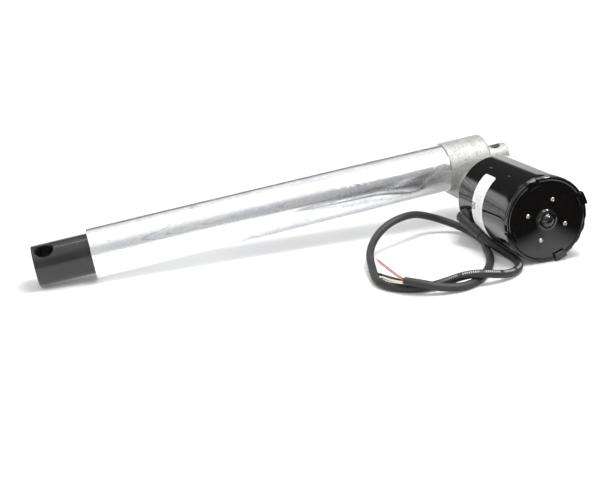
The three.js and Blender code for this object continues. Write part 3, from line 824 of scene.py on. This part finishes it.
# ---- gear housing ----
def gear_housing():
    barrel = lathe("gear_housing_body", [
        (0, -19.4),
        (26.4, -19.4, 3.6),
        (26.4, 28.0, 0.6),
        (21.9, 28.0),
        (21.9, 42),
        (0, 42),
    ], TUBE, 128, 6)
    lug = lathe("lug", [
        (0, -46), (11.7, -46, 1.8), (11.7, -19.4, 1.6), (16, -17), (0, -17),
    ], TUBE, 96)
    neck = lathe("neck", [
        (0, -62.2),
        (37, -62.2, 1.2),
        (37, -55.2, 1.6),
        (25, -55.2, 3),
        (21.7, -50, 3),
        (21.7, 38, 1.6),
        (0, 38),
    ], MOTOR, 128)
    webs = []
    for a in (45, 135, 225, 315):
        webs.append(box_object("web", (3.4, 16, 15), (0, -48.5, 25.5), a, MOTOR, 11))
    combine(barrel, [lug, neck, *webs], "UNION")
    m = barrel.modifiers.new("cast", "REMESH")
    m.mode = "VOXEL"
    m.voxel_size = 0.75 * MM
    m = barrel.modifiers.new("flow", "SMOOTH")
    m.factor = 0.5
    m.iterations = 4
    apply_modifiers(barrel)
    hollows = [
        lathe("h1", [
            (0, -14.5), (11.3, -14.5), (11.3, -7), (18.4, -7), (18.4, 46), (0, 46),
        ], TUBE, 64),
        lathe("h2", [
            (0, -66), (13.3, -66), (13.3, -50), (10.4, -50),
            (10.4, 20), (13, 20), (13, 44), (0, 44),
        ], MOTOR, 64),
        bar_object("h3", 6.35, 30, -33, -6, TUBE, 64),
    ]
    hole = [(0, -70), (SCREW_HOLE_R, -70), (SCREW_HOLE_R, -40), (0, -40)]
    for a in SCREW_TURNS:
        hollows.append(lathe("h4", hole, round_motor(a, SCREW_CIRCLE_R), 24))
    combine(barrel, hollows)
    return barrel


housing = gear_housing()
finish_piece(housing, "cast_aluminium", "housing", "gear_housing", sharp=40)

# ---- motor shell with its bent-over tabs ----
def tab(spin, outer, width=12.0):
    """A tongue of the shell's wall that passes the cap's rim and folds over its face."""
    outline = rounded([
        (39.4, -163), (39.4, -169.9, 0.3), (34.6, -169.9, 0.3), (34.6, -171.6, 0.5),
        (outer, -171.6, 1.0), (outer, -166.6, 0.8), (41.2, -164.6), (41.2, -163),
    ], 4)
    bm = bmesh.new()
    rows = []
    half = width / 2 / 41.3
    for i in range(9):
        a = math.radians(spin) - half + 2 * half * i / 8
        rows.append([bm.verts.new((r * math.sin(a), h, r * math.cos(a))) for r, h in outline])
    n = len(outline)
    for one, two in zip(rows[:-1], rows[1:]):
        for k in range(n):
            bm.faces.new((one[k], one[(k + 1) % n], two[(k + 1) % n], two[k]))
    bm.faces.new(rows[0])
    bm.faces.new(list(reversed(rows[-1])))
    return new_object("tab", bm, MOTOR)


shell = lathe("motor_shell_body", [
    (14, -62.5, 0.3),
    (SHELL_R, -62.5, 2.6),
    (SHELL_R, -66),
    (SHELL_R, -72),
    (SHELL_R, -92),
    (SHELL_R, -157),
    (SHELL_R, -166.4, 0.5),
    (37.275, -166.4),
    (37.275, -64.5, 1.4),
    (14, -64.5),
], MOTOR, 160)
holes = []
hole = [(0, -70), (SCREW_HOLE_R, -70), (SCREW_HOLE_R, -60), (0, -60)]
for a in SCREW_TURNS:
    holes.append(lathe("h", hole, round_motor(a, SCREW_CIRCLE_R), 24))
EXIT_TURN, EXIT_Y = -108, -82
away = Matrix.Rotation(math.radians(EXIT_TURN), 4, "Y") @ Matrix.Translation((0, EXIT_Y * MM, 0))
radial = MOTOR @ away @ Matrix.Rotation(math.pi / 2, 4, "X")
holes.append(lathe("h", [(0, 30), (5, 30), (5, 50), (0, 50)], radial, 48))
combine(shell, holes)
combine(shell, [tab(*spot) for spot in TABS], "UNION")
finish_piece(shell, "gloss_black", "housing", "motor_shell")
soften(shell, 0.45, 3, 45)

# ---- motor end cap: rim, face, raised boss and domed centre ----
DOME_R, DOME_Y = 7.0, -169.1
DOME = [
    (DOME_R * math.sin(math.radians(t)), DOME_Y - DOME_R * math.cos(math.radians(t)))
    for t in range(66, 5, -6)
]
cap = lathe("motor_end_cap_body", [
    (0, -163.8),
    (36.9, -163.8),
    (36.9, -166.8),
    (41.1, -166.8, 0.5),
    (41.1, -169.9, 1.5),
    (38.3, -169.9, 1.1),
    (37.2, -169.0, 1.0),
    (10.2, -169.0, 0.5),
    (9.6, -171.3, 0.9),
    (7.6, -172.1, 0.6),
    *DOME,
    (0, -176.1),
], MOTOR, 160)
cuts = [lathe("c", [(0, -170.4), (7, -170.4), (7, -160), (0, -160)], MOTOR, 48)]
for a, _ in TABS:
    cuts.append(box_object("c", (12.8, 14, 8), (0, -166.4, 42.9), a, MOTOR))
for a in (-93, 99, 117, 135, -166):
    cuts.append(box_object("c", (6, 14, 4), (0, -166.4, 41.7), a, MOTOR))
for a in RIVET_TURNS:
    hole = [(0, -175), (1.9, -175), (1.9, -160), (0, -160)]
    cuts.append(lathe("c", hole, round_motor(a, RIVET_CIRCLE_R), 24))
combine(cap, cuts)
# a small vent slot beside the boss
combine(cap, [box_object("c", (3.0, 1.6, 1.2), (0, -169.0, 8.6), -85, MOTOR)])
finish_piece(cap, "gloss_black", "housing", "motor_end_cap")
soften(cap, 0.25, 2, 45)

for i, a in enumerate(RIVET_TURNS):
    rivet = lathe(f"rivet_{i + 1}_head", [
        (0, -158.4),
        (1.6, -158.4),
        (1.6, -169.1),
        (2.1, -169.1, 0.1),
        (2.05, -169.9, 0.3),
        (1.4, -170.6, 0.5),
        (0.75, -170.6, 0.2),
        (0.55, -170.1, 0.2),
        (0, -170.1),
    ], round_motor(a, RIVET_CIRCLE_R), 40)
    finish_piece(rivet, "steel", "housing", f"rivet_{i + 1}")

# ---- motor screws, thrust plug ----
for i, a in enumerate(SCREW_TURNS):
    at = round_motor(a, SCREW_CIRCLE_R)
    screw = lathe(f"motor_screw_{i + 1}_head", [
        (0, -67),
        (2.4, -67, 0.5),
        (2.4, -55.1),
        (4.6, -55.1, 0.15),
        (4.6, -50.6, 0.5),
        (0, -50.6),
    ], at, 48)
    key = lathe("k", [(0, -53), (2.2, -53), (2.2, -48), (0, -48)], at, 6)
    combine(screw, [key])
    finish_piece(screw, "dark_steel", "housing", f"motor_screw_{i + 1}")
    soften(screw, 0.12, 2, 50)

plug = lathe("thrust_plug_body", [
    (0, 26), (12.7, 26, 0.3), (12.7, 37.6, 0.6), (0, 37.6),
], MOTOR, 96)
combine(plug, [lathe("k", [(0, 32), (5, 32), (5, 42), (0, 42)], MOTOR, 6)])
finish_piece(plug, "dark_steel", "housing", "thrust_plug")
soften(plug, 0.2, 2, 50)

# ---- front bushing and wiper in the cover tube's mouth ----
bushing = lathe("front_bushing_ring", [
    (20.95, 380, 0.4), (21.95, 380, 0.3), (21.95, 398, 0.2), (20.95, 398, 0.4),
], TUBE, 128, 3)
finish_piece(bushing, "white_plastic", "housing", "front_bushing")
wiper = lathe("wiper_seal_ring", [
    (21.95, 398.3, 0.2), (21.95, 406.2, 0.4), (20.9, 405.6, 0.2), (20.9, 404.6, 0.2),
    (21.4, 403.4, 0.2), (21.4, 398.3, 0.2),
], TUBE, 128, 3)
finish_piece(wiper, "rubber", "housing", "wiper_seal")

# ---- strain relief: collar on the shell, elbow, ribbed taper along the cord ----
def strain_relief():
    collar = lathe("strain_relief_boot", [
        (0, 37), (8.8, 37), (8.8, 43.0, 1.0), (7.2, 44.6, 1.2), (0, 45.4),
    ], radial, 64)
    base = FLOOR_ORIGIN + Vector((-43.1, -84.0, 25.6)) * MM
    start = FLOOR_ORIGIN + Vector((-42.6, -78.5, 27.6)) * MM
    line = [start, base] + [p for p in cord_line if (p - cord_line[0]).length < 4 * MM]
    fine = []
    for a, b in zip(line[:-1], line[1:]):
        steps = max(1, int((b - a).length / (0.3 * MM)))
        fine += [a.lerp(b, k / steps) for k in range(steps)]
    fine.append(line[-1])
    total = length_of(fine)

    def radius(s):
        share = min(1, s / total)
        groove = 0.3 * max(0, math.sin(s / MM * 2 * math.pi / 3.2)) if 0.4 < share < 0.95 else 0
        return (6.2 + (4.45 - 6.2) * share - groove) * MM

    sleeve = tube_object("sleeve", fine, radius, 32)
    ball = lathe("ball", [(0, -6.2), (6.2, -6.2, 4.6), (6.2, 6.2, 4.6), (0, 6.2)],
                 Matrix.Translation(start), 48, 8)
    combine(collar, [sleeve, ball], "UNION")
    core = lathe("core", [
        (0, -130), (41.6, -130), (41.6, -96.6), (41.3, -96.6), (41.3, -50), (0, -50),
    ], MOTOR, 160)
    combine(collar, [core])
    return collar


relief = strain_relief()
finish_piece(relief, "rubber", "housing", "strain_relief", sharp=40)


# ---- rating label: a thin film with round corners, wrapped on the shell ----
def label():
    start, end, low, high, corner = -37.8, -146.8, -119.5, -97.0, 3.0
    outer, inner = SHELL_R + 0.16, SHELL_R + 0.03
    arc = math.radians(abs(end - start)) * outer
    bm = bmesh.new()
    uv = bm.loops.layers.uv.new("UVMap")
    stations = [corner * (1 - math.cos(math.pi / 2 * k / 6)) for k in range(7)]
    stations += [corner + (arc - 2 * corner) * k / 60 for k in range(1, 60)]
    stations += [arc - s for s in reversed(stations[:7])]
    columns = []
    for s in stations:
        edge = min(s, arc - s)
        inset = 0.0
        if edge < corner:
            inset = corner - math.sqrt(max(0.0, corner**2 - (corner - edge) ** 2))
        a = math.radians(start) - s / outer
        column = []
        for r in (outer, inner):
            for k in range(5):
                y = low + inset + (high - low - 2 * inset) * k / 4
                column.append(((r * math.sin(a), y, r * math.cos(a)), (s * MM, (y - low) * MM)))
        columns.append(column)
    grid = [[bm.verts.new(c[0]) for c in column] for column in columns]
    place = {v: columns[i][k][1] for i, row in enumerate(grid) for k, v in enumerate(row)}
    loop_order = [0, 1, 2, 3, 4, 9, 8, 7, 6, 5]
    for one, two in zip(grid[:-1], grid[1:]):
        for k in range(10):
            i, j = loop_order[k], loop_order[(k + 1) % 10]
            bm.faces.new((one[i], one[j], two[j], two[i]))
    bm.faces.new([grid[0][i] for i in loop_order])
    bm.faces.new([grid[-1][i] for i in reversed(loop_order)])
    for f in bm.faces:
        for loop in f.loops:
            loop[uv].uv = place[loop.vert]
    return new_object("rating_label_film", bm, MOTOR)


film = label()
finish_piece(film, "label_white", "housing", "rating_label", sharp=50)

# ---- floor ----
bm = bmesh.new()
bmesh.ops.create_grid(bm, x_segments=2, y_segments=2, size=20)
floor = new_object("floor", bm, Matrix.Translation((0, 0, -0.00005)), 1.0)
floor_nodes = Nodes("floor").set(Roughness=0.9, IOR=1.2, Base_Color=(0.86, 0.86, 0.86))
far = floor_nodes.tree.nodes.new("ShaderNodeVectorMath")
far.operation = "LENGTH"
floor_nodes.link(floor_nodes.coords.outputs["Object"], far.inputs[0])
glow = floor_nodes.span(far.outputs["Value"], 0.35, 1.5, 0.08, 0.9, smooth=True)
floor_nodes.shader.inputs["Emission Color"].default_value = (1, 1, 1, 1)
# the cover tube's underside mirrors a brighter floor than the rest does
path = floor_nodes.tree.nodes.new("ShaderNodeLightPath")
where = floor_nodes.tree.nodes.new("ShaderNodeSeparateXYZ")
floor_nodes.link(floor_nodes.coords.outputs["Object"], where.inputs[0])
lift = floor_nodes.span(where.outputs["X"], -0.08, 0.0, 0.5, 0.0, smooth=True)
behind = floor_nodes.span(where.outputs["Y"], 0.1, 0.2, 1.0, 0.0)
lift = floor_nodes.math("MULTIPLY", lift, behind)
lift = floor_nodes.math("MULTIPLY", lift, path.outputs["Is Glossy Ray"])
floor_nodes.to(floor_nodes.math("ADD", glow, lift), "Emission Strength")
# in mirror reflections the white sweep ends in front of the motor
front = floor_nodes.span(where.outputs["Y"], -0.19, -0.13, 1.0, 0.0, smooth=True)
beside = floor_nodes.span(where.outputs["X"], 0.1, 0.18)
front = floor_nodes.math("MULTIPLY", front, beside)
dim = floor_nodes.math("MULTIPLY", front, path.outputs["Is Glossy Ray"])
dark = floor_nodes.tree.nodes.new("ShaderNodeBsdfDiffuse")
dark.inputs["Color"].default_value = (0.012, 0.012, 0.012, 1)
blend = floor_nodes.tree.nodes.new("ShaderNodeMixShader")
floor_nodes.link(dim, blend.inputs[0])
floor_nodes.link(floor_nodes.shader.outputs[0], blend.inputs[1])
floor_nodes.link(dark.outputs[0], blend.inputs[2])
out = floor_nodes.tree.nodes["Material Output"]
floor_nodes.link(blend.outputs[0], out.inputs["Surface"])
floor.data.materials.append(floor_nodes.mat)

# ---- world ----
world = bpy.data.worlds.new("studio")
scene.world = world
world.use_nodes = True
wt = world.node_tree
background = wt.nodes["Background"]
wc = wt.nodes.new("ShaderNodeTexCoord")
ws = wt.nodes.new("ShaderNodeSeparateXYZ")
wt.links.new(wc.outputs["Generated"], ws.inputs[0])


def world_span(source, low, high, to_low, to_high):
    r = wt.nodes.new("ShaderNodeMapRange")
    r.interpolation_type = "SMOOTHSTEP"
    for key, value in zip(
        ("From Min", "From Max", "To Min", "To Max"), (low, high, to_low, to_high)
    ):
        r.inputs[key].default_value = value
    wt.links.new(source, r.inputs["Value"])
    return r.outputs["Result"]


def world_math(kind, a, b):
    m = wt.nodes.new("ShaderNodeMath")
    m.operation = kind
    for i, v in enumerate((a, b)):
        if isinstance(v, (int, float)):
            m.inputs[i].default_value = v
        else:
            wt.links.new(v, m.inputs[i])
    return m.outputs[0]


# a white wall behind, up to 16 degrees, dimmer toward +X
wall = world_math(
    "MULTIPLY",
    world_span(ws.outputs["Z"], 0.26, 0.34, 1.5, 0.06),
    world_span(ws.outputs["Y"], 0.2, 0.5, 0, 1),
)
wall = world_math("MULTIPLY", wall, world_span(ws.outputs["X"], 0.36, 0.52, 1.0, 0.5))
# bright overhead and less so toward the front, where it is dim low down
dome = world_math(
    "MULTIPLY",
    world_span(ws.outputs["Z"], 0.52, 0.75, 0.0, 0.85),
    world_span(ws.outputs["Y"], -0.75, -0.35, 0.4, 1.0),
)
low_front = world_math(
    "MULTIPLY",
    world_span(ws.outputs["Y"], -0.3, 0.3, 0.42, 0.0),
    world_span(ws.outputs["X"], -0.3, 0.5, 1.4, 0.6),
)
mirror = world_math("ADD", world_math("ADD", wall, dome), world_math("ADD", low_front, 0.02))
wp = wt.nodes.new("ShaderNodeLightPath")
mixer = wt.nodes.new("ShaderNodeMix")
mixer.data_type = "FLOAT"
wt.links.new(wp.outputs["Is Glossy Ray"], mixer.inputs[0])
mixer.inputs[2].default_value = 0.92
wt.links.new(mirror, mixer.inputs[3])
wt.links.new(mixer.outputs[0], background.inputs["Strength"])
background.inputs["Color"].default_value = (1, 1, 1, 1)


# ---- lights ----
def softbox(name, at, size, aim, radiance):
    data = bpy.data.lights.new(name, "AREA")
    data.shape = "RECTANGLE"
    data.size, data.size_y = size
    data.energy = radiance * math.pi * size[0] * size[1]
    o = bpy.data.objects.new(name, data)
    scene.collection.objects.link(o)
    facing = (Vector(aim) - Vector(at)).to_track_quat("-Z", "Y")
    o.matrix_world = Matrix.Translation(at) @ facing.to_matrix().to_4x4()
    return o


softbox("key", (0.3, -0.22, 1.2), (0.62, 0.44), (0.05, 0.0, 0.0), 12)
spark = softbox("spark", (0.74, -0.58, 0.95), (0.22, 0.16), (0.2, -0.05, 0.04), 110)
spark.visible_diffuse = False
strip = softbox("strip", (-0.23, 0.33, 1.1), (0.5, 0.1), (-0.25, 0.06, 0.04), 7)
strip.visible_diffuse = False
scene.view_settings.view_transform = "Standard"
scene.view_settings.look = "None"
